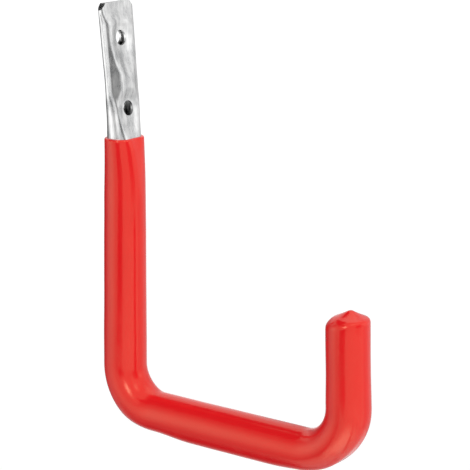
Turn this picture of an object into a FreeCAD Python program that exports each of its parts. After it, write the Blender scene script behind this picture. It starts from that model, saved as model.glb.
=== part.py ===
import FreeCAD, Part
import math
import os

import Sketcher

# A wall hook bent from one steel tube. The top end of the tube is pressed flat and drilled
# for two screws, and a plastic coat covers the rest of it.
# X runs along the wall, +Y points at the wall and Z is up.
# The origin is the middle of the two screw holes.

# Driving sizes in millimetres and degrees: alias, value, what it measures.
SIZES = (
    ("tube_od", 16.0, "outside diameter of the round tube"),
    ("tube_wall", 1.0, "wall of the tube"),
    ("lower_bend", 21.5, "centre-line radius of the bend between leg and arm"),
    ("front_bend", 24.0, "centre-line radius of the bend between arm and tip"),
    ("leg_drop", 162.0, "screw pattern down to the arm's axis"),
    ("leg_setback", 5.3, "screw pattern forward to the leg's axis"),
    ("reach", 128.2, "leg's axis to the tip's axis, along the arm"),
    ("tip_rise", 62.7, "arm's axis to the open end of the tube, along the tip"),
    ("tip_lean", 2.2, "lean of the tip towards the leg, degrees"),
    ("hole_pitch", 32.5, "screw hole to screw hole"),
    ("hole_bore", 7.0, "diameter of the screw holes"),
    ("top_margin", 16.5, "upper screw hole to the top edge"),
    ("corner_cut", 3.1, "each way on the two trimmed corners"),
    ("plate_thickness", 2.8, "pressed end, with both walls and the slit between them"),
    ("flat_length", 6.0, "fully pressed length below the top edge"),
    ("press_run", 86.0, "length over which the round tube turns into the plate"),
    ("straight_length", 33.0, "length below the top edge that leans evenly towards the wall"),
    ("plate_lean", 5.8, "that lean, degrees"),
    ("plate_setback", 2.45, "leg's axis back to the middle of the plate where the even lean starts"),
    ("coat", 2.3, "coat on the arm, the bends and the tip"),
    ("leg_coat", 1.85, "coat on the leg where the pressing starts"),
    ("rim_coat", 1.35, "coat at its rim"),
    ("full_coat_run", 12.0, "length of leg above the lower bend with the full coat"),
    ("rim_drop", 13.95, "lower screw hole down to the rim of the coat"),
    ("rim_round", 0.8, "rounding of the rim's outer edge"),
    ("cap_wall", 2.3, "open end of the tube to the shoulder of the coat"),
    ("cap_rise", 3.9, "height of the low cone that closes the coat"),
    ("shoulder_round", 2.0, "rounding of the shoulder"),
    ("nub_width", 4.4, "diameter of the drip nub"),
    ("nub_rise", 1.4, "height of the drip nub above the cone"),
)

# Half the angle that each round edge of a pressed section spans.
# Close to a right angle, so that the pressed faces come out nearly flat.
EDGE_ANGLE = math.radians(88.0)

# The girth of a pressed tube stays the same. For each millimetre that a face sinks, the edge
# radius falls by EDGE_SHARE and the face radius grows by FACE_SHARE.
FACE_ANGLE = math.pi / 2 - EDGE_ANGLE
GIRTH = FACE_ANGLE * math.sin(EDGE_ANGLE) - EDGE_ANGLE * (1 - math.sin(EDGE_ANGLE))
EDGE_SHARE = FACE_ANGLE / GIRTH
FACE_SHARE = EDGE_ANGLE / GIRTH

# Stations of the pressing, from 0, still round, to 1, flat, and of the coat's neck up to its rim.
PRESS_STEPS = [step / 8 for step in range(9)]
NECK_STEPS = [step / 4 for step in range(5)]

# Heights, as expressions on the sheet.
TOP_EDGE = "(sizes.hole_pitch / 2 + sizes.top_margin)"
PRESS_FOOT = f"({TOP_EDGE} - sizes.flat_length - sizes.press_run)"
LEAN_FOOT = f"({TOP_EDGE} - sizes.straight_length)"
LEAN_RUN = f"({LEAN_FOOT} - {PRESS_FOOT})"
RIM = "(-sizes.hole_pitch / 2 - sizes.rim_drop)"
RIM_PRESS = f"(({RIM} - {PRESS_FOOT}) / sizes.press_run)"
TAPER_FOOT = "(sizes.lower_bend + sizes.full_coat_run - sizes.leg_drop)"

# A face lower than this from bottom to top counts as level.
FLAT = 1e-4

# Names of a sketch's own parts.
START, END, CENTRE = 1, 2, 3
ACROSS, UPRIGHT = -1, -2
ORIGIN = (-1, 1)

doc = FreeCAD.newDocument("garage_hook")
sheet = doc.addObject("Spreadsheet::Sheet", "sizes")
for row, (alias, size, meaning) in enumerate(SIZES, start=1):
    sheet.set(f"A{row}", meaning)
    sheet.set(f"B{row}", str(size))
    sheet.setAlias(f"B{row}", alias)
doc.recompute()


def measure(expression):
    """The present value of an expression on the sheet."""
    return float(sheet.evalExpression(expression))


def new_body(label):
    body = doc.addObject("PartDesign::Body", label)
    body.Label = label
    body.Placement = FreeCAD.Placement()
    return body


def new_sketch(body, name, role, offset=("0", "0", "0")):
    """A sketch on one of the body's origin planes, moved by three expressions."""
    sketch = body.newObject("Sketcher::SketchObject", name)
    plane = next(feature for feature in body.Origin.OriginFeatures if feature.Role == role)
    sketch.AttachmentSupport = [(plane, "")]
    sketch.MapMode = "FlatFace"
    for axis, expression in zip("xyz", offset):
        sketch.setExpression(f"AttachmentOffset.Base.{axis}", expression)
    return sketch


def tie(sketch, kind, *where):
    sketch.addConstraint(Sketcher.Constraint(kind, *where))


def drive(sketch, name, kind, *where, size):
    """A dimension of a sketch that follows an expression on the sheet."""
    index = sketch.addConstraint(Sketcher.Constraint(kind, *where, measure(size)))
    sketch.renameConstraint(index, name)
    sketch.setExpression(f"Constraints.{name}", size)


def vector(x, y):
    return FreeCAD.Vector(x, y, 0)


def add_line(sketch, begin, finish):
    return sketch.addGeometry(Part.LineSegment(begin, finish), False)


def add_arc(sketch, centre, radius, begin, finish):
    circle = Part.Circle(centre, FreeCAD.Vector(0, 0, 1), radius)
    return sketch.addGeometry(Part.ArcOfCircle(circle, begin, finish), False)


def add_circle(sketch, centre, radius):
    return sketch.addGeometry(Part.Circle(centre, FreeCAD.Vector(0, 0, 1), radius), False)


def ease(press):
    """Soft start and end of the pressing."""
    return f"(({press})^2 * (3 - 2 * ({press})))"


def sink(press):
    """How far each face has sunk towards the middle of the tube."""
    return f"((sizes.tube_od - sizes.plate_thickness) / 2 * {ease(press)})"


def edge_radius(press, growth):
    return f"(sizes.tube_od / 2 - {EDGE_SHARE:.9f} * {sink(press)} + {growth})"


def face_radius(press, growth):
    return f"(sizes.tube_od / 2 + {FACE_SHARE:.9f} * {sink(press)} + {growth})"


def half_width(press, growth):
    """Middle of a pressed section to the outside of its round edge."""
    edge, face = edge_radius(press, growth), face_radius(press, growth)
    return f"(({face} - {edge}) * {math.cos(EDGE_ANGLE):.9f} + {edge})"


def press_height(press):
    return f"({PRESS_FOOT} + sizes.press_run * ({press}))"


def middle_shift(height):
    """Middle of a section along Y: it leaves the leg's axis and ends in the plate's even lean."""
    share = f"min(1; ({height} - {PRESS_FOOT}) / {LEAN_RUN})"
    curve = f"tan(sizes.plate_lean) * {LEAN_RUN} * ({share}^3 - {share}^2)"
    straight = f"tan(sizes.plate_lean) * max(0; {height} - {LEAN_FOOT})"
    return f"(sizes.plate_setback * {ease(share)} + {curve} + {straight} - sizes.leg_setback)"


def draw_oval(sketch, press, growth, tag):
    """One closed loop of four arcs: two round edges and two nearly flat faces."""
    edge, face = edge_radius(press, growth), face_radius(press, growth)
    edge_size, face_size = measure(edge), measure(face)
    across = (face_size - edge_size) * math.cos(EDGE_ANGLE)
    along = (face_size - edge_size) * math.sin(EDGE_ANGLE)
    turn, half = EDGE_ANGLE, math.pi
    right = add_arc(sketch, vector(across, 0), edge_size, -turn, turn)
    back = add_arc(sketch, vector(0, -along), face_size, turn, half - turn)
    left = add_arc(sketch, vector(-across, 0), edge_size, half - turn, half + turn)
    front = add_arc(sketch, vector(0, along), face_size, half + turn, 2 * half - turn)
    for arc, following in ((right, back), (back, left), (left, front), (front, right)):
        tie(sketch, "Coincident", arc, END, following, START)
    tie(sketch, "Symmetric", right, END, left, START, UPRIGHT)
    tie(sketch, "Symmetric", right, START, left, END, UPRIGHT)
    tie(sketch, "Symmetric", right, START, right, END, ACROSS)
    face_chord = f"2 * {face} * {math.cos(EDGE_ANGLE):.9f}"
    edge_chord = f"2 * {edge} * {math.sin(EDGE_ANGLE):.9f}"
    drive(sketch, f"{tag}_face_chord", "DistanceX", left, START, right, END, size=face_chord)
    drive(sketch, f"{tag}_edge_chord", "DistanceY", right, START, right, END, size=edge_chord)
    drive(sketch, f"{tag}_edge", "Radius", right, size=edge)
    drive(sketch, f"{tag}_face", "Radius", back, size=face)
    tie(sketch, "Equal", right, left)
    tie(sketch, "Equal", back, front)


def pressed_section(body, name, press, *growths):
    """A section of the pressed tube, with one loop for each growth of its outline."""
    height = press_height(press)
    sketch = new_sketch(body, name, "XY_Plane", ("0", middle_shift(height), height))
    for number, growth in enumerate(growths):
        draw_oval(sketch, press, growth, f"loop{number}")
    return sketch


def top_section(body, name, *growths):
    """The pressed section at the top edge, carried back by the plate's lean."""
    sketch = new_sketch(body, name, "XY_Plane", ("0", middle_shift(TOP_EDGE), TOP_EDGE))
    for number, growth in enumerate(growths):
        draw_oval(sketch, 1, growth, f"loop{number}")
    return sketch


def round_section(body, name, height, *growths):
    """Circles round the leg's axis, one for each growth of the tube's outline."""
    sketch = new_sketch(body, name, "XY_Plane", ("0", "-sizes.leg_setback", height))
    for number, growth in enumerate(growths):
        radius = f"(sizes.tube_od / 2 + {growth})"
        circle = add_circle(sketch, vector(0, 0), measure(radius))
        tie(sketch, "Coincident", circle, CENTRE, *ORIGIN)
        drive(sketch, f"loop{number}", "Radius", circle, size=radius)
    return sketch


def hook_path(body, name, start):
    """The tube's centre line: from a height on the leg down, along the arm and up the tip."""
    sketch = new_sketch(body, name, "YZ_Plane")
    lower_radius = measure("sizes.lower_bend")
    front_radius = measure("sizes.front_bend")
    lean = math.radians(measure("sizes.tip_lean"))
    along_tip = vector(math.sin(lean), math.cos(lean))
    before_corner = front_radius * math.tan((math.pi / 2 + lean) / 2)
    heel = vector(-measure("sizes.leg_setback"), -measure("sizes.leg_drop"))
    corner = heel - vector(measure("sizes.reach"), 0)
    leg_top = vector(heel.x, measure(start))
    leg_end = heel + vector(0, lower_radius)
    arm_start = heel - vector(lower_radius, 0)
    arm_end = corner + vector(before_corner, 0)
    tip_start = corner + along_tip * before_corner
    tip_end = corner + along_tip * measure("sizes.tip_rise")

    leg = add_line(sketch, leg_top, leg_end)
    arm = add_line(sketch, arm_start, arm_end)
    tip = add_line(sketch, tip_start, tip_end)
    lower = add_arc(sketch, arm_start + vector(0, lower_radius), lower_radius, -math.pi / 2, 0)
    front = add_arc(sketch, arm_end + vector(0, front_radius), front_radius, math.pi - lean, 1.5 * math.pi)
    crossing = sketch.addGeometry(Part.Point(corner), True)

    tie(sketch, "Tangent", leg, END, lower, END)
    tie(sketch, "Tangent", arm, START, lower, START)
    tie(sketch, "Tangent", arm, END, front, END)
    tie(sketch, "Tangent", tip, START, front, START)
    tie(sketch, "Vertical", leg)
    tie(sketch, "Horizontal", arm)
    tie(sketch, "PointOnObject", crossing, START, arm)
    tie(sketch, "PointOnObject", crossing, START, tip)
    drive(sketch, "lower_bend", "Radius", lower, size="sizes.lower_bend")
    drive(sketch, "front_bend", "Radius", front, size="sizes.front_bend")
    drive(sketch, "leg_setback", "DistanceX", leg, START, *ORIGIN, size="sizes.leg_setback")
    drive(sketch, "leg_start", "DistanceY", leg, START, *ORIGIN, size=f"-1 * {start}")
    drive(sketch, "leg_drop", "DistanceY", arm, START, *ORIGIN, size="sizes.leg_drop")
    drive(sketch, "reach", "DistanceX", crossing, START, leg, START, size="sizes.reach")
    drive(sketch, "tip_back", "DistanceX", crossing, START, tip, END,
          size="sizes.tip_rise * sin(sizes.tip_lean)")
    drive(sketch, "tip_height", "DistanceY", crossing, START, tip, END,
          size="sizes.tip_rise * cos(sizes.tip_lean)")
    return sketch


def pipe(body, kind, name, profile, path):
    feature = body.newObject(f"PartDesign::{kind}", name)
    feature.Profile = profile
    feature.Spine = (path, [f"Edge{number}" for number in range(1, 6)])
    doc.recompute()
    return feature


def loft(body, kind, name, sections, ruled=False):
    feature = body.newObject(f"PartDesign::{kind}", name)
    feature.Profile = sections[0]
    feature.Sections = sections[1:]
    feature.Ruled = ruled
    doc.recompute()
    return feature


def pocket_through(body, name, sketch):
    """A cut right through along Y, which has to take something away."""
    before = body.Shape.Volume
    feature = body.newObject("PartDesign::Pocket", name)
    feature.Profile = sketch
    feature.Type = "ThroughAll"
    feature.SideType = "Symmetric"
    doc.recompute()
    if body.Shape.Volume >= before:
        raise RuntimeError(f"{name} cut nothing")
    return feature


def trim_corners(body):
    """A triangle over each top corner, whose long side leaves the corner cut."""
    sketch = new_sketch(body, "corner_triangles", "XZ_Plane")
    out = f"({half_width(1, 0)} + sizes.corner_cut)"
    up = f"({TOP_EDGE} + sizes.corner_cut)"
    leg = measure("3 * sizes.corner_cut")
    for name, side in (("left", -1), ("right", 1)):
        apex = vector(side * measure(out), measure(up))
        inner = apex - vector(side * leg, 0)
        lower = apex - vector(0, leg)
        top = add_line(sketch, inner, apex)
        edge = add_line(sketch, apex, lower)
        slope = add_line(sketch, lower, inner)
        for line, following in ((top, edge), (edge, slope), (slope, top)):
            tie(sketch, "Coincident", line, END, following, START)
        tie(sketch, "Horizontal", top)
        tie(sketch, "Vertical", edge)
        tie(sketch, "Equal", top, edge)
        ends = (*ORIGIN, top, END) if side > 0 else (top, END, *ORIGIN)
        drive(sketch, f"{name}_out", "DistanceX", *ends, size=out)
        drive(sketch, f"{name}_up", "DistanceY", *ORIGIN, top, END, size=up)
        drive(sketch, f"{name}_leg", "Distance", edge, size="3 * sizes.corner_cut")
    return pocket_through(body, "corner_cuts", sketch)


def drill_screw_holes(body):
    sketch = new_sketch(body, "screw_circles", "XZ_Plane")
    half_pitch = measure("sizes.hole_pitch / 2")
    radius = measure("sizes.hole_bore / 2")
    upper = add_circle(sketch, vector(0, half_pitch), radius)
    lower = add_circle(sketch, vector(0, -half_pitch), radius)
    tie(sketch, "PointOnObject", upper, CENTRE, UPRIGHT)
    tie(sketch, "Symmetric", upper, CENTRE, lower, CENTRE, *ORIGIN)
    tie(sketch, "Equal", upper, lower)
    drive(sketch, "pitch", "DistanceY", lower, CENTRE, upper, CENTRE, size="sizes.hole_pitch")
    drive(sketch, "bore", "Radius", upper, size="sizes.hole_bore / 2")
    return pocket_through(body, "screw_holes", sketch)


def make_steel_tube():
    """Round tube, the run where it is pressed, and the flat plate with its cuts."""
    body = new_body("steel_tube")
    walls = ("0", "-sizes.tube_wall")
    ring = round_section(body, "tube_ring", PRESS_FOOT, *walls)
    path = hook_path(body, "tube_path", PRESS_FOOT)
    pipe(body, "AdditivePipe", "bent_tube", ring, path)
    stations = [
        pressed_section(body, f"press_station_{number}", press, *walls)
        for number, press in enumerate(PRESS_STEPS)
    ]
    loft(body, "AdditiveLoft", "pressed_run", stations)
    top = top_section(body, "plate_top", *walls)
    foot = pressed_section(body, "plate_foot", 1, *walls)
    loft(body, "AdditiveLoft", "plate", [foot, top], ruled=True)
    trim_corners(body)
    drill_screw_holes(body)
    return body


def cap_profile(body):
    """Half section of the closed end: shoulder, low cone and drip nub, round the tip's axis."""
    lean = "sizes.tip_lean"
    end_y = f"sizes.tip_rise * sin({lean}) - sizes.leg_setback - sizes.reach"
    end_z = f"sizes.tip_rise * cos({lean}) - sizes.leg_drop"
    sketch = new_sketch(body, "cap_profile", "YZ_Plane", (end_y, end_z, "0"))
    sketch.setExpression("AttachmentOffset.Rotation.Angle", f"-1 * {lean}")
    side = measure("sizes.tube_od / 2 + sizes.coat")
    shoulder = measure("sizes.cap_wall")
    rounding = measure("sizes.shoulder_round")
    slope = math.atan2(measure("sizes.cap_rise"), side)
    tangent = rounding * math.tan((math.pi / 2 - slope) / 2)
    nub = measure("sizes.nub_width / 2")
    nub_foot = shoulder + (side - nub) * math.tan(slope)
    nub_top = nub_foot + measure("sizes.nub_rise")
    nub_radius = (nub ** 2 + (nub_top - nub_foot) ** 2) / (2 * (nub_top - nub_foot))

    centre = vector(0, 0)
    corner = vector(side, shoulder)
    wall_top = corner - vector(0, tangent)
    cone_foot = corner + vector(-math.cos(slope), math.sin(slope)) * tangent
    cone_top = vector(nub, nub_foot)
    nub_angle = math.atan2(nub_foot - nub_top + nub_radius, nub)
    base = add_line(sketch, centre, vector(side, 0))
    wall = add_line(sketch, vector(side, 0), wall_top)
    bend = add_arc(sketch, wall_top - vector(rounding, 0), rounding, 0, math.pi / 2 - slope)
    cone = add_line(sketch, cone_foot, cone_top)
    dome = add_arc(sketch, vector(0, nub_top - nub_radius), nub_radius, nub_angle, math.pi / 2)
    axis = add_line(sketch, vector(0, nub_top), centre)
    sharp = sketch.addGeometry(Part.Point(corner), True)

    tie(sketch, "Coincident", base, START, *ORIGIN)
    tie(sketch, "Coincident", base, END, wall, START)
    tie(sketch, "Tangent", wall, END, bend, START)
    tie(sketch, "Tangent", bend, END, cone, START)
    tie(sketch, "Coincident", cone, END, dome, START)
    tie(sketch, "Coincident", dome, END, axis, START)
    tie(sketch, "Coincident", axis, END, *ORIGIN)
    tie(sketch, "Horizontal", base)
    tie(sketch, "Vertical", wall)
    tie(sketch, "Vertical", axis)
    tie(sketch, "PointOnObject", dome, CENTRE, UPRIGHT)
    tie(sketch, "PointOnObject", sharp, START, wall)
    tie(sketch, "PointOnObject", sharp, START, cone)
    drive(sketch, "side", "DistanceX", base, START, base, END, size="sizes.tube_od / 2 + sizes.coat")
    drive(sketch, "shoulder", "DistanceY", wall, START, sharp, START, size="sizes.cap_wall")
    drive(sketch, "shoulder_round", "Radius", bend, size="sizes.shoulder_round")
    cone_share = "(1 - sizes.nub_width / (sizes.tube_od + 2 * sizes.coat))"
    drive(sketch, "cone_rise", "DistanceY", sharp, START, cone, END, size=f"sizes.cap_rise * {cone_share}")
    drive(sketch, "nub_width", "DistanceX", *ORIGIN, cone, END, size="sizes.nub_width / 2")
    drive(sketch, "nub_rise", "DistanceY", cone, END, dome, END, size="sizes.nub_rise")
    return sketch


def close_tip(body):
    sketch = cap_profile(body)
    cap = body.newObject("PartDesign::Revolution", "cap")
    cap.Profile = sketch
    cap.ReferenceAxis = (sketch, ["V_Axis"])
    cap.Angle = 360
    doc.recompute()
    return cap


def round_rim(body, base):
    """Fillet on the outer edge of the rim, the outline of the flat face at the rim's height."""
    height = measure(RIM)
    level = [face for face in body.Shape.Faces if face.BoundBox.ZLength < FLAT]
    rim = next(face for face in level if abs(face.BoundBox.ZMin - height) < FLAT)
    outline = rim.OuterWire.Edges
    names = [
        f"Edge{number}"
        for number, edge in enumerate(body.Shape.Edges, start=1)
        if any(edge.isSame(other) for other in outline)
    ]
    fillet = body.newObject("PartDesign::Fillet", "rim_rounding")
    fillet.Base = (base, names)
    fillet.setExpression("Radius", "sizes.rim_round")
    doc.recompute()
    return fillet


def neck_coat(share):
    """Coat on the neck, from 0 where the pressing starts to 1 at the rim."""
    return f"(sizes.leg_coat + (sizes.rim_coat - sizes.leg_coat) * {share})"


def make_grip_sleeve():
    """The coat: its outside, less the tube that it was dipped on."""
    body = new_body("grip_sleeve")
    coated = round_section(body, "coat_circle", TAPER_FOOT, "sizes.coat")
    outer_path = hook_path(body, "coat_path", TAPER_FOOT)
    pipe(body, "AdditivePipe", "coated_hook", coated, outer_path)
    close_tip(body)
    taper_foot = round_section(body, "taper_foot", TAPER_FOOT, "sizes.coat")
    taper_top = round_section(body, "taper_top", PRESS_FOOT, "sizes.leg_coat")
    loft(body, "AdditiveLoft", "coated_leg", [taper_foot, taper_top], ruled=True)
    neck = [
        pressed_section(body, f"neck_station_{number}", f"{RIM_PRESS} * {share}", neck_coat(share))
        for number, share in enumerate(NECK_STEPS)
    ]
    loft(body, "AdditiveLoft", "coated_neck", neck)
    bore = round_section(body, "bore_circle", PRESS_FOOT, "0")
    bore_path = hook_path(body, "bore_path", PRESS_FOOT)
    pipe(body, "SubtractivePipe", "tube_bore", bore, bore_path)
    stations = [
        pressed_section(body, f"bore_station_{number}", press, "0")
        for number, press in enumerate(PRESS_STEPS)
    ]
    hollow = loft(body, "SubtractiveLoft", "pressed_bore", stations)
    round_rim(body, hollow)
    return body


def check(bodies):
    """Stop on any object that failed, and on a sub-part that is empty, broken or in pieces."""
    for item in doc.Objects:
        if "Invalid" in item.State or "Error" in item.State:
            raise RuntimeError(f"{item.Name} failed: {item.State}")
    for body in bodies:
        if body.Shape.isNull() or not body.Shape.isValid() or len(body.Shape.Solids) != 1:
            raise RuntimeError(f"{body.Label} is not one valid solid")


bodies = (make_steel_tube(), make_grip_sleeve())
doc.recompute()
check(bodies)
os.makedirs("parts", exist_ok=True)
for body in bodies:
    body.Shape.exportStep(f"parts/{body.Label}.step")
    print(f"{body.Label}: {body.Shape.Volume:.1f} mm3, {len(body.Shape.Faces)} faces")
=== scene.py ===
# %% [markdown]
# # A garage hook of bent tube with a dipped red coat
#
# The real hook is one steel tube. Its top end is pressed flat and drilled for two screws, the rest is bent
# twice, and everything below the screws is dipped in soft red plastic. This lesson makes it the way a
# workshop does: grow a straight tube, bend it, press its end, drill it and coat it. The CAD model is loaded
# first, because every place in the scene is worked out from its solids.

# %% Load the CAD model as the frame
import functools
import math

import bmesh
import bpy
from mathutils import Matrix, Vector, noise


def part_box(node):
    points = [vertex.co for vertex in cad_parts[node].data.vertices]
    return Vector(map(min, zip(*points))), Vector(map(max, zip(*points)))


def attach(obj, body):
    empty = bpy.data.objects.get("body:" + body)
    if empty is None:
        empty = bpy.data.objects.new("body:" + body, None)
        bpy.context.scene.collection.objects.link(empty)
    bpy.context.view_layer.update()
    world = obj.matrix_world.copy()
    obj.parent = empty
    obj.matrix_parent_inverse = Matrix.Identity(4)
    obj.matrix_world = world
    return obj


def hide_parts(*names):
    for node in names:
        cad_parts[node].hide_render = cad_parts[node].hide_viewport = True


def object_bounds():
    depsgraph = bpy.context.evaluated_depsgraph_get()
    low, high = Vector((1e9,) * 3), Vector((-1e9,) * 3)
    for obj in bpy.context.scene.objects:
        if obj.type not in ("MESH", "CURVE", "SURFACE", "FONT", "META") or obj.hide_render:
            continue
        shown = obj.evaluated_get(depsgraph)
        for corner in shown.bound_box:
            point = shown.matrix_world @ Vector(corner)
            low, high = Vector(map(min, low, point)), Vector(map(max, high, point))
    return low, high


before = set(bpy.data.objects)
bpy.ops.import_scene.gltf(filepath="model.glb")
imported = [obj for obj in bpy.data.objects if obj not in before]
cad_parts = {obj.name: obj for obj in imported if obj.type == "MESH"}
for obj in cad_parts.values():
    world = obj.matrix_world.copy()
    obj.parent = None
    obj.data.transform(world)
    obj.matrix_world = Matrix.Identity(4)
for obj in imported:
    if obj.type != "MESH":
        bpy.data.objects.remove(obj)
cad_low, cad_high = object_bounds()
print("CAD box in mm:", [round(1000 * side, 1) for side in cad_high - cad_low])

# %% [markdown]
# ## The line of the hook
#
# A bent tube is described by its centre line: a leg, a bend, an arm, a second bend and a tip. The stock
# sizes are written down here, and the places come from the boxes of the two CAD solids, so the visual model
# can't drift away from the solids that it dresses.

# %% Sizes of the stock and places of the bends
MM = 0.001
TUBE_RADIUS = 8 * MM
TUBE_WALL = 1 * MM
COAT = 2.3 * MM
COAT_RADIUS = TUBE_RADIUS + COAT
LOWER_BEND = 21.5 * MM
FRONT_BEND = 24 * MM
TIP_LEAN = math.radians(2.2)
TIP_RISE = 62.7 * MM

coat_low, coat_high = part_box("grip_sleeve")
tube_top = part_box("steel_tube")[1].z
leg_y = coat_high.y - COAT_RADIUS
arm_z = coat_low.z + COAT_RADIUS
bend_z = arm_z + LOWER_BEND
lower_centre = Vector((0, leg_y - LOWER_BEND, bend_z))
front_centre = Vector((0, coat_low.y + COAT_RADIUS + FRONT_BEND, arm_z + FRONT_BEND))
front_turn = math.pi / 2 + TIP_LEAN
tip_up = Vector((0, math.sin(TIP_LEAN), math.cos(TIP_LEAN)))
tip_run = TIP_RISE - FRONT_BEND * math.tan(front_turn / 2)
print("arm run in mm:", round((lower_centre.y - front_centre.y) / MM, 1), "tip run:", round(tip_run / MM, 1))

# %% [markdown]
# ## Growing a tube
#
# A tube could be a curve with a bevel, but then its wall, its rim and its closed tip couldn't be edited.
# Here it starts as a circle of edges. Straight runs are extruded and bends are spun, which are the same two
# moves that a tube bender makes.

# %% Extrude and spin an open ring
SEGMENTS = 128
BEND_STEP = 1.6 * MM


def split(made):
    """The new vertices, and the open edges, among what an operator made."""
    verts = [item for item in made if isinstance(item, bmesh.types.BMVert)]
    ring = [item for item in made if isinstance(item, bmesh.types.BMEdge) and item.is_boundary]
    return verts, ring


def start_ring(bm, centre, radius):
    """A level circle of edges."""
    place = Matrix.Translation(centre)
    verts = bmesh.ops.create_circle(bm, segments=SEGMENTS, radius=radius, matrix=place)["verts"]
    return list(dict.fromkeys(edge for vert in verts for edge in vert.link_edges))


def grow(bm, ring, move, spacing):
    """Extrude a ring along a straight run, with a new ring at about every spacing."""
    steps = max(1, round(move.length / spacing))
    for _ in range(steps):
        verts, ring = split(bmesh.ops.extrude_edge_only(bm, edges=ring)["geom"])
        bmesh.ops.translate(bm, verts=verts, vec=move / steps)
    return ring


def bend(bm, ring, centre, turn, spacing):
    """Spin a ring round a bend's centre, with steps that suit the wider of the two bends."""
    steps = max(1, round(turn * FRONT_BEND / min(spacing, BEND_STEP)))
    verts = list(dict.fromkeys(vert for edge in ring for vert in edge.verts))
    made = bmesh.ops.spin(bm, geom=verts + ring, cent=centre, axis=(1, 0, 0), angle=-turn, steps=steps)
    return split(made["geom_last"])[1]


print("each ring has", SEGMENTS, "edges of", round(math.tau * TUBE_RADIUS / SEGMENTS / MM, 2), "mm")

# %% [markdown]
# ## Pressing the end flat
#
# When a tube is pressed, its girth doesn't change: round turns into a flat oval with folded edges. Scaling
# the mesh would stretch the wall, so each vertex keeps its distance round the girth, and a quarter of the
# section is walked from the fold to the middle of the face while the surface turns. The pressing eases in
# over a length of tube, and the plate leans towards the wall.

# %% Heights and lean of the pressed end
FLAT_LENGTH = 6 * MM
PRESS_RUN = 86 * MM
STRAIGHT_LENGTH = 33 * MM
PLATE_LEAN = math.radians(5.8)
PLATE_SETBACK = 2.45 * MM

press_foot = tube_top - FLAT_LENGTH - PRESS_RUN
lean_foot = tube_top - STRAIGHT_LENGTH


def clamp(value):
    return max(0.0, min(1.0, value))


def ease(value):
    """A soft start and end between 0 and 1."""
    value = clamp(value)
    return value * value * (3 - 2 * value)


def plate_shift(height):
    """How far the middle of the tube has gone back towards the wall at a height."""
    run = lean_foot - press_foot
    share = clamp((height - press_foot) / run)
    # This cubic starts level at the foot and ends in the even lean
    curve = math.tan(PLATE_LEAN) * run * (share ** 3 - share ** 2)
    lean = math.tan(PLATE_LEAN) * max(0.0, height - lean_foot)
    return PLATE_SETBACK * ease(share) + curve + lean


print("pressing from", round(press_foot / MM, 2), "mm, even lean from", round(lean_foot / MM, 2), "mm")

# %% [markdown]
# ### The section at a height
#
# Where the press let go, the wall buckled into a long, narrow facet beside each fold, and above it the folds
# stayed a little thicker than the middle of the plate. Sculpting could give such forms, but a walk by
# formula keeps the girth and makes both sides alike. The facet is a stretch of the walk in which the surface
# doesn't turn, and the hollow between the folds is a stretch in which it turns too far and back.

# %% Folds, facets and hollow
PLATE_THICKNESS = 2.8 * MM
FOLD = 2.3 * MM
TOP_FOLD = 1.15 * MM
TOP_FOLD_START = 23 * MM
TOP_FOLD_RUN = 6 * MM
FACET = 3.5 * MM
FACET_TOP = 25 * MM
FACET_FULL = 0 * MM
FACET_GROWTH = 1.5
FACET_WIDEST = -8 * MM
FACET_FOOT = -16 * MM
# The crease between facet and face is this many times as round as the fold
FACET_CREASE = 3.2
HOLLOW = math.radians(4)


def above_neck(height):
    """0 on the neck, where the section is a plain oval, and 1 where the facet is widest and above."""
    return ease((height - FACET_FOOT) / (FACET_WIDEST - FACET_FOOT))


def fold_radius(height):
    oval = TUBE_RADIUS + (PLATE_THICKNESS / 2 - TUBE_RADIUS) * ease((height - press_foot) / PRESS_RUN)
    fold = FOLD + (TOP_FOLD - FOLD) * ease((height - TOP_FOLD_START) / TOP_FOLD_RUN)
    return oval + (fold - oval) * above_neck(height)


def section_forms(height):
    """Radius of the fold, length of the facet, radius of its crease and angle of the hollow."""
    fold = fold_radius(height)
    facet = clamp((FACET_TOP - height) / (FACET_TOP - FACET_FULL)) ** FACET_GROWTH
    facet *= FACET * above_neck(height)
    crease = fold * (1 + (FACET_CREASE - 1) * above_neck(height))
    return fold, facet, crease, HOLLOW * above_neck(height)


print("fold in mm where the facet is widest and at the top:",
      [round(fold_radius(height) / MM, 2) for height in (FACET_WIDEST, tube_top)])

# %% Walk a quarter of the section
FACET_ANGLE = math.radians(62)
WALK_STEPS = 128
QUARTER_GIRTH = math.pi / 2 * TUBE_RADIUS


def surface_angle(along, fold, facet, crease, hollow):
    """The angle between the surface's normal and X, a distance along the quarter from its fold."""
    rest = math.pi / 2 - FACET_ANGLE
    face = max(MM, QUARTER_GIRTH - fold * FACET_ANGLE - facet - crease * rest)
    if along < fold * FACET_ANGLE:
        return along / fold
    along -= fold * FACET_ANGLE
    if along < facet:
        return FACET_ANGLE
    along -= facet
    if along < crease * rest:
        return FACET_ANGLE + along / crease
    along -= crease * rest
    return math.pi / 2 + hollow * math.sin(math.pi * along / face) ** 2


@functools.lru_cache(maxsize=None)
def section(height):
    """Points of a quarter of the section: distance from the middle across and through, and the angle."""
    forms = section_forms(height)
    step = QUARTER_GIRTH / WALK_STEPS
    across, through = [0.0], [0.0]
    for number in range(WALK_STEPS):
        angle = surface_angle((number + 0.5) * step, *forms)
        across.append(across[-1] - math.sin(angle) * step)
        through.append(through[-1] + math.cos(angle) * step)
    angles = [surface_angle(number * step, *forms) for number in range(WALK_STEPS + 1)]
    return [(out - across[-1], back, angle) for out, back, angle in zip(across, through, angles)]


plate_section = section(tube_top)
print("plate in mm:", round(2 * plate_section[0][0] / MM, 1), "by", round(2 * plate_section[-1][1] / MM, 1))

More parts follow.
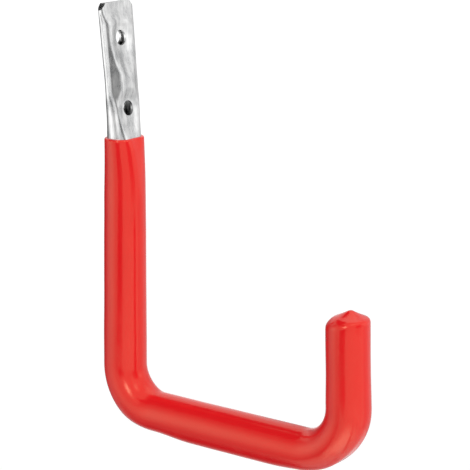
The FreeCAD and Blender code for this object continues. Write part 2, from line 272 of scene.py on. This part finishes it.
# %% [markdown]
# ### Dimples and trimmed corners
#
# Drilling pushes the thin wall in round each hole, and the two top corners are sheared off. Cutting the
# corners later would leave thin slivers of faces in the two walls, so here the points of the round tube are
# moved instead: into the dimples, and near the corners each column of points ends lower.

# %% Move the points of a round tube
HOLE_PITCH = 32.5 * MM
HOLE_RADIUS = 3.5 * MM
DIMPLES = (
    # height of the hole, depth at its edge and how far from the edge it reaches
    (HOLE_PITCH / 2, 1.3 * MM, 6 * MM),
    (-HOLE_PITCH / 2, 1.6 * MM, 7 * MM),
)
DIMPLE_TAIL = 2.0
# Heights are rounded to a micrometre, so that a ring of points shares one section
HEIGHT_DIGITS = 6


def dimple(across, height):
    """How far drilling has pushed the wall in, round the two screw holes and in a tail below them."""
    depth = 0.0
    for hole, full, run in DIMPLES:
        rise = height - hole
        away = math.hypot(across, rise if rise > 0 else rise / DIMPLE_TAIL) - HOLE_RADIUS
        depth = max(depth, full * (1 - ease(away / run)))
    return depth


def pressed(point):
    """A point near the leg, moved to where the press takes it."""
    out, back = abs(point.x), abs(point.y - leg_y)
    growth = math.hypot(out, back) - TUBE_RADIUS
    place = math.atan2(back, out) / (math.pi / 2) * WALK_STEPS
    index = min(int(place), WALK_STEPS - 1)
    points = section(round(point.z, HEIGHT_DIGITS))
    x, y, angle = (a + (b - a) * (place - index) for a, b in zip(points[index], points[index + 1]))
    x += growth * math.cos(angle)
    y += growth * math.sin(angle) - dimple(x, point.z) * math.sin(angle)
    x = math.copysign(x, point.x)
    y = math.copysign(y, point.y - leg_y)
    return Vector((x, leg_y + plate_shift(point.z) + y, point.z))


print("dimples in mm at the edges of the holes:", [round(full / MM, 1) for _, full, _ in DIMPLES])

# %% Trim the corners and press
CORNER_CUT = 3.1 * MM
TRIM_RUN = 8 * MM
corner_start = plate_section[0][0] - CORNER_CUT


def trimmed(spot):
    """The corners are sheared off at 45 degrees: the columns of vertices there end lower."""
    drop = max(0.0, abs(pressed(spot).x) - corner_start)
    return spot - Vector((0, 0, drop * clamp((spot.z - tube_top + TRIM_RUN) / TRIM_RUN)))


def on_leg(spot, foot):
    """True above a height on the leg, and False on the tip, which stands well in front of it."""
    return spot.z > foot and spot.y > leg_y - 2 * COAT_RADIUS


def press_end(bm):
    for vert in bm.verts:
        if on_leg(vert.co, press_foot):
            vert.co = pressed(trimmed(vert.co))


print("corners start", round(corner_start / MM, 1), "mm from the middle of the plate")

# %% [markdown]
# ## What bending does to the tube
#
# A tube that is bent without a core inside goes flat on the outside of the bend, most of all where the clamp
# held the arm, and a little wider across. On a glossy coat this shows in the outline and in the reflections,
# so the vertices in each bend are moved by shares of their distance from the centre line.

# %% Flats on the outside of the bends
# Each flat: its depth and where along the bend it starts, is full and fades, as shares, and its run into
# the arm
LOWER_FLAT = (0.15, 0.55, 1.00, 1.00, 22 * MM)
FRONT_FLAT = (0.13, 0.08, 0.55, 0.78, 14 * MM)
FLAT_CREASE = 0.05
WIDER = 0.04
# A vertex this near to a centre line belongs to it
NEAR = 1.5 * COAT_RADIUS


def flat_share(place, length, start, full, fade, run_out):
    """Share of the full flat, a distance along the bend from its leg or tip, and on into the arm."""
    rise = ease((place / length - start) / (full - start))
    fall = ease((place - fade * length) / (run_out + length - fade * length))
    return rise * (1 - fall)


def flatten_bend(bm, centre, radius, turn, side, flat):
    """side is 1 where the upright of the bend stands on its +Y side and -1 on the other."""
    depth, *places = flat
    length = turn * radius
    for vert in bm.verts:
        across = side * (vert.co.y - centre.y)
        below = centre.z - vert.co.z
        angle = math.atan2(below, across) + turn - math.pi / 2
        in_bend = across > 0 and angle > 0
        in_arm = across <= 0
        distance = math.hypot(across, below) if in_bend else below
        place = angle * radius if in_bend else length - across
        off = distance - radius
        if (in_bend or in_arm) and abs(off) < NEAR and place < length + places[-1]:
            if off > 0:
                share = flat_share(place, length, *places)
                flatter = min(off, COAT_RADIUS * (1 - FLAT_CREASE * share)) * (1 - depth * share)
                scale = (radius + flatter) / distance
                vert.co.z = centre.z - below * scale
                vert.co.y = centre.y + side * across * (scale if in_bend else 1)
            if in_bend:
                vert.co.x *= 1 + WIDER * math.sin(math.pi * angle / turn) ** 2


def flatten_bends(bm):
    flatten_bend(bm, lower_centre, LOWER_BEND, math.pi / 2, 1, LOWER_FLAT)
    flatten_bend(bm, front_centre, FRONT_BEND, front_turn, -1, FRONT_FLAT)


for name, flat in (("lower", LOWER_FLAT), ("front", FRONT_FLAT)):
    print(name, "bend is flatter by", round(flat[0] * COAT_RADIUS / MM, 1), "mm")

# %% [markdown]
# ## The steel tube
#
# Two skins, outside and inside, are grown along the same line and joined by a band at each open end, so the
# slit between the pressed walls is real. A Solidify modifier could add the inner wall, but in the tight
# folds its sides could cross. The inner skin is turned towards the hollow before the bands are made, because
# the bands follow the way that the skins face.

# %% Skins and pieces
MERGE_DISTANCE = 0.001 * MM


def hook_skin(bm, radius, top, fine, coarse, short=0.0):
    """A round skin down the leg, along the arm and up the tip. Gives back its first and last ring."""
    first = start_ring(bm, Vector((0, leg_y, top)), radius)
    ring = grow(bm, first, Vector((0, 0, press_foot - top)), fine)
    ring = grow(bm, ring, Vector((0, 0, bend_z - press_foot)), coarse)
    ring = bend(bm, ring, lower_centre, math.pi / 2, coarse)
    ring = grow(bm, ring, Vector((0, front_centre.y - lower_centre.y, 0)), coarse)
    ring = bend(bm, ring, front_centre, front_turn, coarse)
    return first, grow(bm, ring, tip_up * (tip_run - short), coarse)


def turn_inwards(bm, outer_faces):
    """Turn the faces of the inner skin towards the hollow."""
    inner_faces = [face for face in bm.faces if face not in outer_faces]
    bmesh.ops.reverse_faces(bm, faces=inner_faces)


def new_piece(bm, name):
    """A smooth object from a finished bmesh, with its faces turned outwards."""
    bmesh.ops.remove_doubles(bm, verts=bm.verts[:], dist=MERGE_DISTANCE)
    bmesh.ops.recalc_face_normals(bm, faces=bm.faces[:])
    mesh = bpy.data.meshes.new(name)
    bm.to_mesh(mesh)
    bm.free()
    for face in mesh.polygons:
        face.use_smooth = True
    piece = bpy.data.objects.new(name, mesh)
    bpy.context.scene.collection.objects.link(piece)
    print(name, "has", len(mesh.polygons), "faces")
    return piece


bends = math.pi / 2 * LOWER_BEND + front_turn * FRONT_BEND
straights = tube_top - bend_z + lower_centre.y - front_centre.y + tip_run
print("the line takes", round((bends + straights) / MM), "mm of tube")

# %% Grow and press the tube
FINE = 1.0 * MM
HIDDEN = 20 * MM

bm = bmesh.new()
outer_top, outer_end = hook_skin(bm, TUBE_RADIUS, tube_top, FINE, HIDDEN)
outer_faces = set(bm.faces)
inner_top, inner_end = hook_skin(bm, TUBE_RADIUS - TUBE_WALL, tube_top, FINE, HIDDEN)
turn_inwards(bm, outer_faces)
bmesh.ops.bridge_loops(bm, edges=outer_end + inner_end)
bmesh.ops.bridge_loops(bm, edges=outer_top + inner_top)
press_end(bm)
flatten_bends(bm)
steel_tube = new_piece(bm, "pressed_tube")

# %% [markdown]
# ### The screw holes
#
# Each hole goes through both walls. It could be made by insetting faces, but the dimpled walls have none
# that fit, so two long cylinders are taken away from the tube by a Boolean, as a drill does it. The Manifold
# solver asks for closed meshes and gives a closed mesh back.

# %% Drill the screw holes
HOLE_SEGMENTS = 72
DRILL_LENGTH = 6 * TUBE_RADIUS
TUBE_SHARP = math.radians(35)


def drill_holes(piece):
    bm = bmesh.new()
    for height in (-HOLE_PITCH / 2, HOLE_PITCH / 2):
        place = Matrix.Translation((0, 0, height)) @ Matrix.Rotation(math.pi / 2, 4, "X")
        bmesh.ops.create_cone(bm, cap_ends=True, segments=HOLE_SEGMENTS, radius1=HOLE_RADIUS,
                              radius2=HOLE_RADIUS, depth=DRILL_LENGTH, matrix=place)
    drill = new_piece(bm, "drill")
    cut = piece.modifiers.new("drill", "BOOLEAN")
    cut.object = drill
    cut.solver = "MANIFOLD"
    mesh = bpy.data.meshes.new_from_object(piece.evaluated_get(bpy.context.evaluated_depsgraph_get()))
    piece.modifiers.remove(cut)
    bpy.data.objects.remove(drill)
    # The Boolean leaves an empty slot, which would stand in the finish's place
    mesh.materials.clear()
    piece.data = mesh


drill_holes(steel_tube)
steel_tube.data.set_sharp_from_angle(angle=TUBE_SHARP)
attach(steel_tube, "root")
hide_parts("steel_tube")
print("drilled tube:", len(steel_tube.data.polygons), "faces")

# %% [markdown]
# ## The dipped coat
#
# The coat is a closed shell round the tube. Its outside grows along the same line, gets thinner up the leg
# where the plastic ran off, and ends at a cut rim with a rounded edge. At the tip the plastic closed over
# the open tube as a low cone, and the last drop set as a soft peak. A sphere squashed over the tip would be
# too even, so the tip's outline is worked out for each direction round its axis.

# %% Outline of the cap
CAP_WALL = 2.7 * MM
CAP_RISE = 4.8 * MM
CAP_SAG = 0.15 * MM
PEAK_ROUND = 3.0 * MM
ROUND_SIDE = 6.8 * MM
TIGHT_SIDE = 2.4 * MM
SHOULDER_STEPS = 8
CONE_STEPS = 8
PEAK_STEPS = 6


def shoulder_radius(turn):
    """The shoulder is rounder on the side that faces the leg."""
    return TIGHT_SIDE + (ROUND_SIDE - TIGHT_SIDE) * ease((1 + math.sin(turn)) / 2)


def cap_outline(turn):
    """Distance from the tip's axis and height, ring by ring, in one direction round the axis."""
    slope = math.atan2(CAP_RISE, COAT_RADIUS)
    rounding = shoulder_radius(turn)
    sweep = math.pi / 2 - slope
    side = CAP_WALL - rounding * math.tan(sweep / 2)
    points = []
    for step in range(SHOULDER_STEPS + 1):
        angle = sweep * step / SHOULDER_STEPS
        out = COAT_RADIUS - rounding + rounding * math.cos(angle)
        points.append((out, side + rounding * math.sin(angle)))
    shoulder, low = points[-1]
    peak = PEAK_ROUND * math.sin(slope)
    high = CAP_WALL + CAP_RISE * (1 - peak / COAT_RADIUS)
    for step in range(1, CONE_STEPS + 1):
        share = step / CONE_STEPS
        sag = CAP_SAG * math.sin(math.pi * share)
        points.append((shoulder + (peak - shoulder) * share, low + (high - low) * share - sag))
    for step in range(1, PEAK_STEPS + 1):
        angle = slope * (1 - step / PEAK_STEPS)
        rise = PEAK_ROUND * (math.cos(angle) - math.cos(slope))
        points.append((PEAK_ROUND * math.sin(angle), high + rise))
    return points


cap_top = cap_outline(0)[-1][1]
print("the cap rises", round(cap_top / MM, 1), "mm above the end of the tube")

# %% Carry the coat over the tip
CAP_TILT = 0.05
PEAK_SHIFT = 1.6 * MM

bend_end = front_centre + Matrix.Rotation(-front_turn, 3, "X") @ Vector((0, 0, -FRONT_BEND))
tip_end = bend_end + tip_up * tip_run
tip_place = Matrix.Translation(tip_end) @ Matrix.Rotation(-TIP_LEAN, 4, "X")


def close_tip(bm, ring, turn_layer):
    """Carry the last ring of the coat over the shoulder and the cone up to the peak."""
    inverse = tip_place.inverted()
    for level in range(SHOULDER_STEPS + CONE_STEPS + PEAK_STEPS):
        verts, ring = split(bmesh.ops.extrude_edge_only(bm, edges=ring)["geom"])
        for vert in verts:
            local = inverse @ vert.co
            turn = math.atan2(local.y, local.x) if level == 0 else vert[turn_layer]
            vert[turn_layer] = turn
            radius, height = cap_outline(turn)[level]
            shift = PEAK_SHIFT * clamp(height / cap_top) * (1 - radius / COAT_RADIUS)
            height -= CAP_TILT * radius * math.sin(turn) * ease(height / CAP_WALL)
            vert.co = tip_place @ Vector((radius * math.cos(turn), radius * math.sin(turn) - shift, height))
    apex = tip_place @ Vector((0, -PEAK_SHIFT, cap_top))
    bmesh.ops.pointmerge(bm, verts=verts, merge_co=apex)


print("end of the tube at", [round(part / MM, 1) for part in tip_end], "mm")

# %% Thin the coat on the leg and at the tip
LEG_COAT = 1.85 * MM
RIM_COAT = 1.35 * MM
FULL_COAT_RUN = 12 * MM
SLIMMER = 0.024
SLIM_RUN = 18 * MM


def coat_share(height):
    """Thickness of the coat on the leg at a height, as a share of the full coat."""
    full, thin = bend_z + FULL_COAT_RUN, press_foot
    if height < thin:
        return 1 + (LEG_COAT / COAT - 1) * clamp((height - full) / (thin - full))
    share = (height - thin) / (coat_high.z - thin)
    return (LEG_COAT + (RIM_COAT - LEG_COAT) * share) / COAT


def thin_leg(bm):
    for vert in bm.verts:
        if on_leg(vert.co, bend_z):
            off = Vector((vert.co.x, vert.co.y - leg_y, 0))
            growth = (off.length - TUBE_RADIUS) * coat_share(vert.co.z)
            off *= (TUBE_RADIUS + growth) / off.length
            vert.co = Vector((off.x, leg_y + off.y, vert.co.z))


def slim_tip(bm):
    """The coat drew thinner towards the end that hung lowest while it set."""
    inverse = tip_place.inverted()
    for vert in bm.verts:
        local = inverse @ vert.co
        if local.z > -tip_run and math.hypot(local.x, local.y) < NEAR:
            share = 1 - SLIMMER * ease((local.z + tip_run) / SLIM_RUN)
            vert.co = tip_place @ Vector((local.x * share, local.y * share, local.z))


print("coat in mm at the bend and at the rim:", round(COAT / MM, 2), round(RIM_COAT / MM, 2))

# %% Grow the coat and give it its waves
COAT_STEP = 2.0 * MM
CAP_ROOM = 3.0 * MM
RIM_ROUND = 0.9 * MM
RIM_STEPS = 4
WAVE_LENGTH = 16 * MM
WAVE_HEIGHT = 0.10 * MM
COAT_SHARP = math.radians(50)


def wave(bm):
    """The uneven skin of a dipped coat: long, very low waves."""
    bm.normal_update()
    for vert in bm.verts:
        vert.co += vert.normal * WAVE_HEIGHT * noise.noise(vert.co / WAVE_LENGTH)


bm = bmesh.new()
turn_layer = bm.verts.layers.float.new("turn")
outer_rim, outer_end = hook_skin(bm, COAT_RADIUS, coat_high.z, FINE, COAT_STEP, CAP_ROOM)
close_tip(bm, outer_end, turn_layer)
outer_faces = set(bm.faces)
inner_rim, inner_end = hook_skin(bm, TUBE_RADIUS, coat_high.z, FINE, HIDDEN)
bmesh.ops.edgeloop_fill(bm, edges=inner_end)
turn_inwards(bm, outer_faces)
bmesh.ops.bridge_loops(bm, edges=outer_rim + inner_rim)
bmesh.ops.bevel(bm, geom=outer_rim, offset=RIM_ROUND, offset_type="OFFSET", segments=RIM_STEPS, profile=0.5,
                affect="EDGES", material=-1)
thin_leg(bm)
slim_tip(bm)
press_end(bm)
flatten_bends(bm)
bmesh.ops.recalc_face_normals(bm, faces=bm.faces[:])
wave(bm)
red_coat = new_piece(bm, "dipped_coat")
red_coat.data.set_sharp_from_angle(angle=COAT_SHARP)
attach(red_coat, "root")
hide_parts("grip_sleeve")

# %% [markdown]
# ## Finishes
#
# A finish is a tree of shader nodes. Writing node after node is tedious, so a small class wraps a socket and
# lets plain sums add the Math nodes, and one method adds any other node.

# %% Wires that add Math nodes
class Wire:
    """The output of a node. Sums on it add Math nodes to its tree."""

    def __init__(self, tree, socket):
        self.tree = tree
        self.socket = socket

    def math(self, operation, other):
        return self.tree.add("Math", {"operation": operation}, {0: self, 1: other})

    def __add__(self, other):
        return self.math("ADD", other)

    def __mul__(self, other):
        return self.math("MULTIPLY", other)

    __radd__ = __add__
    __rmul__ = __mul__


print("Wire:", Wire.__doc__)

# %% Trees that add any node
class Tree:
    """A node tree of a material or of the world, emptied and ready to be filled."""

    def __init__(self, owner):
        owner.use_nodes = True
        self.nodes = owner.node_tree.nodes
        self.links = owner.node_tree.links
        self.nodes.clear()

    def add(self, kind, settings=None, sockets=None, output=0):
        """Any node: its type, its settings first, then the values or wires of its sockets."""
        node = self.nodes.new("ShaderNode" + kind)
        for name, value in (settings or {}).items():
            setattr(node, name, value)
        for name, value in (sockets or {}).items():
            if isinstance(value, Wire):
                self.links.new(value.socket, node.inputs[name])
            else:
                node.inputs[name].default_value = value
        return Wire(self, node.outputs[output]) if node.outputs else None

    def point(self):
        """Object coordinates, which stay on the piece wherever it goes."""
        return self.add("TexCoord", output="Object")

    def noise(self, point, scale, detail=2.0, roughness=0.5):
        sockets = {"Vector": point, "Scale": scale, "Detail": detail, "Roughness": roughness}
        return self.add("TexNoise", None, sockets)

    def stretched(self, point, scale):
        """Object coordinates with another scale along each axis."""
        return self.add("Mapping", None, {"Vector": point, "Scale": scale})

    def between(self, value, low, high, to_low=0.0, to_high=1.0):
        """A value mapped softly from one range to another."""
        sockets = {"Value": value, "From Min": low, "From Max": high, "To Min": to_low, "To Max": to_high}
        return self.add("MapRange", {"interpolation_type": "SMOOTHSTEP"}, sockets)

    def mix(self, factor, first, second):
        """One colour over another: a Mix node's colours go into sockets 6 and 7 and out of 2."""
        return self.add("Mix", {"data_type": "RGBA"}, {0: factor, 6: first, 7: second}, output=2)

    def surface(self, shader):
        self.add("OutputMaterial", None, {"Surface": shader})


def new_finish(name):
    material = bpy.data.materials.new(name)
    return material, Tree(material)


def colour(red, green, blue):
    return (red, green, blue, 1.0)


print("Tree:", Tree.__doc__)

# %% [markdown]
# ### Dipped red plastic
#
# The coat is soft, glossy plastic. One even red with one gloss would look like a toy, so noise changes both
# a little: the skin has a fine orange peel, a few matt rubs and a slight change of red where the dip is
# thicker.

# %% The red finish
PATCH_SCALE = 55.0
RUB_SCALE = 130.0
RUB_STRETCH = (1, 1, 0.35)
PEEL_SCALE = 900.0
DEEP_RED = colour(0.77, 0.006, 0.011)
LIGHT_RED = colour(0.85, 0.010, 0.015)
WARM_GLOSS = colour(1.0, 0.98, 0.60)
PLASTIC_IOR = 1.53


def red_plastic():
    material, tree = new_finish("dipped_red_plastic")
    point = tree.point()
    patches = tree.noise(point, PATCH_SCALE, 3.0)
    rubs = tree.between(tree.noise(tree.stretched(point, RUB_STRETCH), RUB_SCALE, 4.0, 0.6), 0.55, 0.8)
    peel = tree.noise(point, PEEL_SCALE, 1.0)
    red = tree.mix(patches, DEEP_RED, LIGHT_RED)
    roughness = 0.15 + 0.05 * patches + 0.10 * rubs
    bump = tree.add("Bump", None, {"Strength": 0.10, "Distance": 0.2 * MM, "Height": peel + 0.2 * rubs})
    tree.surface(tree.add("BsdfPrincipled", None, {
        "Base Color": red, "Roughness": roughness, "IOR": PLASTIC_IOR, "Specular Tint": WARM_GLOSS,
        "Normal": bump}))
    return material


red_coat.data.materials.append(red_plastic())
print("finish of the coat:", red_coat.data.materials[0].name)

# %% [markdown]
# ### Bright zinc on drawn steel
#
# The bare end is zinc plated. Drawing the tube and pressing it leave fine marks along its length, so the
# noise is stretched along the leg, and it changes the colour, the gloss and the bump together. Scratches
# drawn one by one would take long and look planned.

# %% The steel finish
STREAK_SCALE = 300.0
STREAK_STRETCH = (1, 1, 0.06)
HAIRLINE_SCALE = 2200.0
HAIRLINE_STRETCH = (1, 1, 0.03)
CLOUD_SCALE = 160.0
DARK_ZINC = colour(0.42, 0.425, 0.43)
BRIGHT_ZINC = colour(0.82, 0.82, 0.815)


def zinc_steel():
    material, tree = new_finish("bright_zinc")
    point = tree.point()
    streaks = tree.noise(tree.stretched(point, STREAK_STRETCH), STREAK_SCALE, 3.0)
    hairlines = tree.noise(tree.stretched(point, HAIRLINE_STRETCH), HAIRLINE_SCALE)
    clouds = tree.noise(point, CLOUD_SCALE, 3.0)
    tone = 0.45 * streaks + 0.2 * hairlines + 0.35 * clouds
    grey = tree.mix(tree.between(tone, 0.35, 0.65), DARK_ZINC, BRIGHT_ZINC)
    roughness = 0.19 + 0.18 * tone
    marks = streaks + 0.2 * hairlines
    bump = tree.add("Bump", None, {"Strength": 0.30, "Distance": 0.15 * MM, "Height": marks})
    tree.surface(tree.add("BsdfPrincipled", None, {
        "Base Color": grey, "Roughness": roughness, "Metallic": 1.0, "Normal": bump}))
    return material


steel_tube.data.materials.append(zinc_steel())
print("finish of the tube:", steel_tube.data.materials[0].name)

# %% [markdown]
# ## Camera
#
# The photograph was taken with a long lens from the left and a little above. The camera's place and turns
# were found by fitting the hook's outline, and the focal length is given in pixels of the picture.

# %% Place the camera
PICTURE = 470
FOCAL_PIXELS = 2000
SENSOR = 36.0
CAMERA_SPOT = Vector((-0.7160, -0.5836, 0.1498))
CAMERA_HEADING = math.radians(54.31)
CAMERA_DIP = math.radians(13.86)
CAMERA_ROLL = math.radians(0.63)

camera_data = bpy.data.cameras.new("camera")
camera_data.sensor_width = SENSOR
camera_data.lens = SENSOR * FOCAL_PIXELS / PICTURE
camera = bpy.data.objects.new("camera", camera_data)
bpy.context.scene.collection.objects.link(camera)
turns = (
    Matrix.Rotation(-CAMERA_HEADING, 4, "Z")
    @ Matrix.Rotation(math.pi / 2 - CAMERA_DIP, 4, "X")
    @ Matrix.Rotation(CAMERA_ROLL, 4, "Z")
)
camera.matrix_world = Matrix.Translation(CAMERA_SPOT) @ turns
bpy.context.scene.camera = camera
bpy.context.scene.view_settings.view_transform = "Standard"
print("lens in mm:", round(camera_data.lens, 1))

# %% [markdown]
# ## The studio
#
# A glossy thing is drawn by what it reflects. The surroundings are white, as a sweep of paper is. More light
# would also turn the paper white, but it would bleach the red too, so the floor and the sky are lifted only
# for the camera and for reflections, and the floor keeps the hook's shadow.

# %% Floor
FLOOR_DROP = 0.33
FLOOR_SIDE = 24.0
FLOOR_PAINT = colour(0.76, 0.76, 0.76)
NEAR_GLOW = 0.36
FAR_GLOW = 0.60
GLOW_REACH = 3.0


def seen(tree):
    """1 for rays from the camera, off gloss or through a clear thing, and 0 for rays that only light."""
    camera_rays = tree.add("LightPath", output="Is Camera Ray")
    gloss_rays = tree.add("LightPath", output="Is Glossy Ray")
    clear_rays = tree.add("LightPath", output="Is Transmission Ray")
    return camera_rays + gloss_rays + clear_rays


def pale_floor():
    """Pale paint that shows as white, a little less lifted near the hook, so that it keeps the shadow."""
    material, tree = new_finish("pale_floor")
    far = tree.add("VectorMath", {"operation": "LENGTH"}, {0: tree.point()}, output="Value")
    lift = tree.between(far, 0.0, GLOW_REACH, NEAR_GLOW, FAR_GLOW)
    paint = tree.add("BsdfDiffuse", None, {"Color": FLOOR_PAINT})
    glow = tree.add("Emission", None, {"Color": lift * seen(tree)})
    tree.surface(tree.add("AddShader", None, {0: paint, 1: glow}))
    return material


floor_z = cad_low.z - FLOOR_DROP
bm = bmesh.new()
level = Matrix.Translation((0, 0, floor_z))
bmesh.ops.create_grid(bm, x_segments=1, y_segments=1, size=FLOOR_SIDE / 2, matrix=level)
floor = new_piece(bm, "floor")
floor.data.materials.append(pale_floor())
print("floor at", round(floor_z, 3), "m")

# %% Sky
SKY = 0.68
WHITE = colour(1, 1, 1)

world = bpy.data.worlds.new("white_studio")
bpy.context.scene.world = world
sky = Tree(world)
dome = sky.add("Background", None, {"Color": WHITE, "Strength": SKY + (1 - SKY) * seen(sky)})
sky.add("OutputWorld", None, {"Surface": dome})
print("the sky lights with", SKY, "and shows as 1")

# %% [markdown]
# ### Lamps
#
# Two large lamps light the hook from the right and from the left. A larger lamp makes a softer shadow. They
# are hidden from reflections, because what the gloss shows is left to the cards.

# %% Place the lamps
LAMPS = (
    # name, power in watts, azimuth and elevation in degrees
    ("key", 12.5, 40, 32),
    ("fill", 2.2, -75, 8),
)
LAMP_SIDE = 1.2
LAMP_DISTANCE = 1.6
middle = (cad_low + cad_high) / 2


def direction(azimuth, elevation):
    """A direction from the hook, with the azimuth counted from the camera, to the right."""
    heading = CAMERA_HEADING - math.radians(azimuth)
    rise = math.radians(elevation)
    return Vector((-math.sin(heading) * math.cos(rise), -math.cos(heading) * math.cos(rise), math.sin(rise)))


for name, power, azimuth, elevation in LAMPS:
    lamp_data = bpy.data.lights.new(name, "AREA")
    lamp_data.size = LAMP_SIDE
    lamp_data.energy = power
    lamp = bpy.data.objects.new(name, lamp_data)
    lamp.visible_glossy = False
    bpy.context.scene.collection.objects.link(lamp)
    away = direction(azimuth, elevation)
    spot = middle + LAMP_DISTANCE * away
    # A lamp shines along its own -Z axis, so its Z axis points away from the hook
    lamp.matrix_world = Matrix.Translation(spot) @ away.to_track_quat("Z", "Y").to_matrix().to_4x4()
    print(name, "lamp at", [round(part, 2) for part in spot])

# %% [markdown]
# ### Cards round the hook
#
# A photographer stands black, grey and bright cards round a shiny thing to draw lines in its gloss. An image
# of a studio could light the scene as well, but cards can be placed one by one. Each is a grid that is bent
# round the hook between the directions of its four corners. Only reflections show it, as a photographer's
# cards stay outside the picture.

# %% Where the cards stand
CARDS = (
    # name, azimuth and elevation of the lower two and the upper two corners in degrees, distance in metres,
    # glow in the middle and at the edge
    ("left_card", (-48, -20), (-20, -20), (-36, -7), (-8, -7), 1.2, 0.0, 0.0),
    ("right_card", (36, -10), (64, -10), (36, 22), (64, 22), 1.2, 0.17, 0.17),
    ("rear_card", (-172, -40), (-108, -40), (-172, 14), (-108, 14), 0.7, 0.0, 0.45),
    ("arm_card", (-104, -46), (-52, -46), (-104, 36), (-52, 36), 0.6, 1.8, 0.35),
    ("side_card", (124, -40), (176, -40), (124, 20), (176, 20), 0.7, 0.68, 0.68),
    ("low_card", (76, -38), (122, -38), (76, -9), (122, -9), 0.6, 0.7, 0.8),
    ("high_card", (-160, 40), (-84, 40), (-160, 76), (-84, 76), 1.2, 0.0, 0.0),
    ("wedge_card", (-84, 40), (-36, 36), (-84, 76), (-36, 42), 1.2, 0.0, 0.0),
    ("top_card", (100, 50), (200, 50), (100, 86), (200, 86), 1.2, 1.5, 1.3),
    ("window", (-38, 6), (-8, 6), (-38, 28), (-8, 28), 1.2, 8.0, 1.0),
    ("roof_window", (2, 30), (36, 30), (2, 64), (36, 64), 1.2, 2.6, 1.0),
    ("softbox", (66, -3), (98, -3), (66, 28), (98, 28), 1.2, 1.9, 0.95),
)
print("cards round the hook:", len(CARDS))

# %% Stand up the cards
CARD_COLUMNS = 12
CARD_ROWS = 8
# A grid of this size is one unit wide, so its vertices give shares of the card
HALF = 0.5


def stage_card(bm, name, centre, reach, glow, edge):
    """A card whose glow changes softly from the centre out to its reach."""
    card = new_piece(bm, name)
    material, tree = new_finish(name)
    away = tree.add("VectorMath", {"operation": "DISTANCE"}, {0: tree.point(), 1: centre}, output="Value")
    tree.surface(tree.add("Emission", None, {"Color": tree.between(away, 0.0, reach, glow, edge)}))
    card.data.materials.append(material)
    card.visible_camera = False
    card.visible_diffuse = False
    card.visible_shadow = False
    card.visible_transmission = False


for name, *corners, distance, glow, edge in CARDS:
    low_left, low_right, high_left, high_right = [Vector(corner) for corner in corners]
    bm = bmesh.new()
    bmesh.ops.create_grid(bm, x_segments=CARD_COLUMNS, y_segments=CARD_ROWS, size=HALF)
    for vert in bm.verts:
        low = low_left.lerp(low_right, vert.co.x + HALF)
        high = high_left.lerp(high_right, vert.co.x + HALF)
        vert.co = middle + distance * direction(*low.lerp(high, vert.co.y + HALF))
    span = high_right - low_left
    centre = middle + distance * direction(*(low_left + span / 2))
    stage_card(bm, name, centre, distance * math.radians(max(span)) / 2, glow, edge)

# %% [markdown]
# ### Cards on the floor
#
# The undersides of the arm and of the bends mirror the floor. Painting the floor would show in the picture,
# so discs and strips lie just above it, and only reflections show them.

# %% Discs
DISCS = (
    # name, middle along X and Y, radius in metres, glow in the middle and at the edge
    ("dark_disc", -0.05, 0.15, 0.36, 0.0, 0.6),
    ("bright_disc", -0.30, -0.32, 0.46, 3.3, 1.15),
)
DISC_RISE = 1 * MM
DISC_SEGMENTS = 64

for name, x, y, radius, glow, edge in DISCS:
    bm = bmesh.new()
    centre = Vector((x, y, floor_z + DISC_RISE))
    place = Matrix.Translation(centre)
    bmesh.ops.create_circle(bm, cap_ends=True, segments=DISC_SEGMENTS, radius=radius, matrix=place)
    stage_card(bm, name, centre, radius, glow, edge)

# %% Strips
STRIPS = (
    # name, start and end along X and Y, width at the start and at the end in metres, even glow
    ("dark_strip", (-0.34, 0.03), (-1.25, 0.24), 0.05, 0.12, 0.2),
    ("grey_strip", (0.05, -0.22), (-0.36, -0.70), 0.05, 0.07, 0.8),
)
STRIP_RISE = 2 * MM

for name, first, last, first_width, last_width, glow in STRIPS:
    first = Vector(first)
    run = Vector(last) - first
    across = run.orthogonal().normalized()
    bm = bmesh.new()
    bmesh.ops.create_grid(bm, x_segments=1, y_segments=1, size=HALF)
    for vert in bm.verts:
        share = vert.co.y + HALF
        width = first_width + (last_width - first_width) * share
        spot = first + run * share + across * width * vert.co.x
        vert.co = spot.to_3d() + Vector((0, 0, floor_z + STRIP_RISE))
    stage_card(bm, name, middle, run.length, glow, glow)
